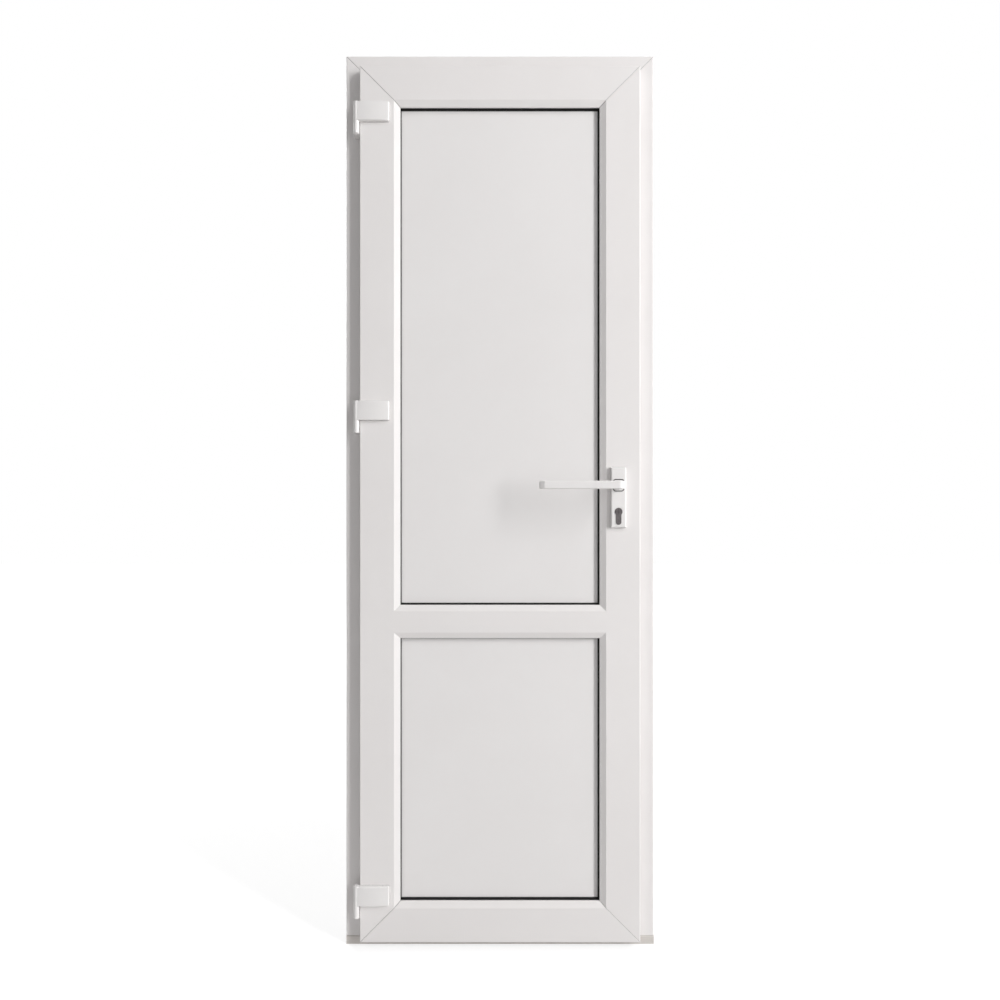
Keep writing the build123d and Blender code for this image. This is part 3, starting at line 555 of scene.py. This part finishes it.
def ends(node, x, y, inset):
    """Two points on a plate near its low and high ends."""
    low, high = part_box(node)
    return [Vector((x, y, low.z + inset)), Vector((x, y, high.z - inset))]


def on_hinge_axis(levels):
    """Points on the hinge axis at these heights."""
    return [Vector((hinge_point.x, hinge_point.y, level)) for level in levels]


def gasket_lip(where):
    """A closed ring along the inner edge of a front gasket, mitred at its corners."""
    low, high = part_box(f"gasket_{where}_front")
    panel_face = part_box(f"panel_{where}")[0].y
    widths = LIP_WIDTHS[where]
    bm = bmesh.new()

    def ring(reach, height):
        left = low.x + GASKET_WIDTH + reach["left"]
        right = high.x - GASKET_WIDTH - reach["right"]
        bottom = low.z + GASKET_WIDTH + reach["bottom"]
        top = high.z - GASKET_WIDTH - reach["top"]
        y = panel_face - LIP_GAP - height
        corners = ((left, bottom), (right, bottom), (right, top), (left, top))
        return [bm.verts.new((x, y, z)) for x, z in corners]

    root = {side: -LIP_ROOT for side in widths}
    rings = [ring(root, 0.0), ring(root, LIP_HEIGHT)]
    for step in range(LIP_STEPS + 1):
        turn = math.pi / 2 * step / LIP_STEPS
        reach = {side: math.sin(turn) * width for side, width in widths.items()}
        rings.append(ring(reach, math.cos(turn) * LIP_HEIGHT))
    for index, inner in enumerate(rings):
        bridge(bm, rings[index - 1], inner)
    mesh_piece(f"gasket_lip_{where}", bm, "leaf", "gasket", f"gasket_{where}_front")


# Soft lips of the front gaskets
for where in LIP_WIDTHS:
    gasket_lip(where)

# Lock faceplate and strike plate screws
faceplate_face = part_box("lock_faceplate")[1].x
faceplate_spots = ends("lock_faceplate", faceplate_face, middle("lock_faceplate").y, LOCK_SCREW_INSET)
screws(
    "faceplate_screws",
    faceplate_spots,
    (1, 0, 0),
    FACEPLATE_SCREW,
    "leaf",
    "lock_steel",
    "lock_faceplate",
)
strike_low, strike_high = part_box("strike_plate")
strike_spots = ends("strike_plate", strike_low.x, middle("strike_plate").y, LOCK_SCREW_INSET)
screws("strike_screws", strike_spots, (-1, 0, 0), STRIKE_SCREW, "frame", "lock_steel", "strike_plate")

# Cover caps over the frame fixings, in the rebate of each jamb behind the strike's line
rebate = strike_high.x
for side, across in (("left", -1), ("right", 1)):
    cap_spots = [Vector((across * rebate, COVER_CAP_PLACE, level)) for level in COVER_CAP_LEVELS]
    caps(f"fixing_caps_{side}", cap_spots, (-across, 0, 0), COVER_CAP, "frame", "profile", f"jamb_{side}")

# Threshold screws on the land between two ribs, behind the bottom seal
threshold_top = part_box("threshold")[1].z
threshold_spots = [Vector((step, THRESHOLD_SCREW_PLACE, threshold_top)) for step in THRESHOLD_SCREW_STEPS]
screws(
    "threshold_screws",
    threshold_spots,
    (0, 0, 1),
    THRESHOLD_SCREW,
    "frame",
    "lock_steel",
    "strike_plate",
)

# Inner handle plate: two fixing screws, above the lever and between lever and cylinder
plate_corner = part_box("handle_plate_back")[1]
between = (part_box("handle_collar_back")[0].z + cylinder_high.z) / 2
plate_spots = [
    Vector((lever_point.x, plate_corner.y, plate_corner.z - PLATE_SCREW_INSET)),
    Vector((lever_point.x, plate_corner.y, between)),
]
screws("plate_screws", plate_spots, (0, 1, 0), PLATE_SCREW, "leaf", "lock_steel", "lock_faceplate")

# Set screws under the neck of each lever
for side, outward in (("front", -1), ("back", 1)):
    collar_low, collar_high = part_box(f"handle_collar_{side}")
    collar_face = collar_low.y if outward < 0 else collar_high.y
    sockets(
        f"lever_set_screw_{side}",
        [Vector((lever_point.x, collar_face + outward * NECK_SPOT, lever_point.z - NECK_RADIUS))],
        (0, 0, -1),
        SET_SCREW,
        SET_SCREW_EDGE,
        SET_SCREW_RISE,
        SET_SCREW_ACROSS,
        "handle",
        "lock_steel",
        "spindle",
    )

# Hinge pin caps on top of each flap and under each bracket
sockets(
    "hinge_caps_upper",
    on_hinge_axis(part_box(f"hinge_flap_{where}")[1].z for where in HINGES),
    (0, 0, 1),
    HINGE_CAP_UPPER,
    CAP_EDGE,
    CAP_RISE,
    HINGE_CAP_ACROSS,
    "leaf",
    "hinge",
    "hinge_flap_top",
)
sockets(
    "hinge_caps_lower",
    on_hinge_axis(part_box(f"hinge_bracket_{where}")[0].z for where in HINGES),
    (0, 0, -1),
    HINGE_CAP_LOWER,
    CAP_EDGE,
    CAP_RISE,
    HINGE_CAP_ACROSS,
    "frame",
    "hinge",
    "hinge_bracket_top",
)


def seen_directly(tree):
    """1 for rays that show the background to the camera, in reflections or through glass."""
    path = add(tree, "ShaderNodeLightPath")
    either = add(tree, "ShaderNodeMath", {"operation": "MAXIMUM"})
    tree.links.new(path.outputs["Is Camera Ray"], either.inputs[0])
    tree.links.new(path.outputs["Is Glossy Ray"], either.inputs[1])
    seen = add(tree, "ShaderNodeMath", {"operation": "MAXIMUM"})
    tree.links.new(either.outputs["Value"], seen.inputs[0])
    tree.links.new(path.outputs["Is Transmission Ray"], seen.inputs[1])
    return seen.outputs["Value"]


def studio_world():
    """Fill light that is stronger from above, with a white background where it is seen directly."""
    world = bpy.data.worlds.new("studio")
    scene.world = world
    world.use_nodes = True
    tree = world.node_tree
    lean = add(tree, "ShaderNodeVectorMath", {"operation": "DOT_PRODUCT"})
    tree.links.new(add(tree, "ShaderNodeTexCoord").outputs["Generated"], lean.inputs[0])
    lean.inputs[1].default_value = (0.0, 0.0, FILL_UP)
    strength = add(tree, "ShaderNodeMath", {"operation": "ADD"})
    tree.links.new(lean.outputs["Value"], strength.inputs[0])
    strength.inputs[1].default_value = FILL_EVEN
    fill = add(tree, "ShaderNodeBackground", Color=WHITE, Strength=strength.outputs["Value"])
    backdrop = add(tree, "ShaderNodeBackground", Color=WHITE, Strength=1.0)
    mix = add(tree, "ShaderNodeMixShader")
    tree.links.new(seen_directly(tree), mix.inputs[0])
    tree.links.new(fill.outputs["Background"], mix.inputs[1])
    tree.links.new(backdrop.outputs["Background"], mix.inputs[2])
    tree.links.new(mix.outputs["Shader"], tree.nodes["World Output"].inputs["Surface"])


def floor_finish():
    """A pale matt floor that is white where it is seen directly, with a faint shadow of the object."""
    material, tree, shader = blank("studio_floor")
    shader.inputs["Base Color"].default_value = FLOOR_COLOUR
    shader.inputs["Roughness"].default_value = FLOOR_ROUGHNESS
    away = add(tree, "ShaderNodeVectorMath", {"operation": "LENGTH"})
    tree.links.new(place(tree), away.inputs[0])
    glow = add(
        tree,
        "ShaderNodeMapRange",
        Value=away.outputs["Value"],
        From_Min=FLOOR_NEAR,
        From_Max=FLOOR_FAR,
        To_Min=FLOOR_GLOW_NEAR,
        To_Max=FLOOR_GLOW_FAR,
    )
    white = add(tree, "ShaderNodeEmission", Color=WHITE, Strength=glow.outputs["Result"])
    shade = add(tree, "ShaderNodeBsdfDiffuse", Color=FLOOR_SHADE)
    both = add(tree, "ShaderNodeAddShader")
    tree.links.new(white.outputs["Emission"], both.inputs[0])
    tree.links.new(shade.outputs["BSDF"], both.inputs[1])
    mix = add(tree, "ShaderNodeMixShader")
    tree.links.new(seen_directly(tree), mix.inputs[0])
    tree.links.new(shader.outputs["BSDF"], mix.inputs[1])
    tree.links.new(both.outputs["Shader"], mix.inputs[2])
    tree.links.new(mix.outputs["Shader"], tree.nodes["Material Output"].inputs["Surface"])
    return material


def studio_floor():
    """The floor under the set."""
    bm = bmesh.new()
    bmesh.ops.create_grid(bm, x_segments=FLOOR_CELLS, y_segments=FLOOR_CELLS, size=FLOOR_HALF)
    mesh = bpy.data.meshes.new("studio_floor")
    bm.to_mesh(mesh)
    bm.free()
    floor = bpy.data.objects.new("studio_floor", mesh)
    floor.location.z = cad_box[0].z - FLOOR_GAP
    scene.collection.objects.link(floor)
    mesh.materials.append(floor_finish())


def soft_lamp(name, toward, distance, power, width, height):
    """A soft oval lamp aimed at the middle of the set."""
    centre = (cad_box[0] + cad_box[1]) / 2
    lamp = bpy.data.lights.new(name, "AREA")
    lamp.shape = "ELLIPSE"
    lamp.size = width
    lamp.size_y = height
    lamp.energy = power
    holder = bpy.data.objects.new(name, lamp)
    holder.location = centre + toward * distance
    holder.rotation_euler = (-toward).to_track_quat("-Z", "Y").to_euler()
    scene.collection.objects.link(holder)


def photo_camera():
    """The camera, square on to the leaf's face."""
    camera = bpy.data.cameras.new("camera")
    camera.lens = CAMERA_LENS
    camera.sensor_width = CAMERA_SENSOR
    camera.sensor_fit = "HORIZONTAL"
    holder = bpy.data.objects.new("camera", camera)
    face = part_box("stile_left")[0].y
    holder.location = (0.0, face - CAMERA_DISTANCE, CAMERA_HEIGHT)
    holder.rotation_euler = (math.radians(90), 0.0, 0.0)
    scene.collection.objects.link(holder)
    scene.camera = holder


studio_world()
studio_floor()
soft_lamp("key_lamp", TO_KEY, KEY_DISTANCE, KEY_POWER, KEY_WIDTH, KEY_HEIGHT)
soft_lamp("back_lamp", TO_BACK, BACK_DISTANCE, BACK_POWER, BACK_WIDTH, BACK_HEIGHT)
photo_camera()
scene.view_settings.view_transform = "Standard"
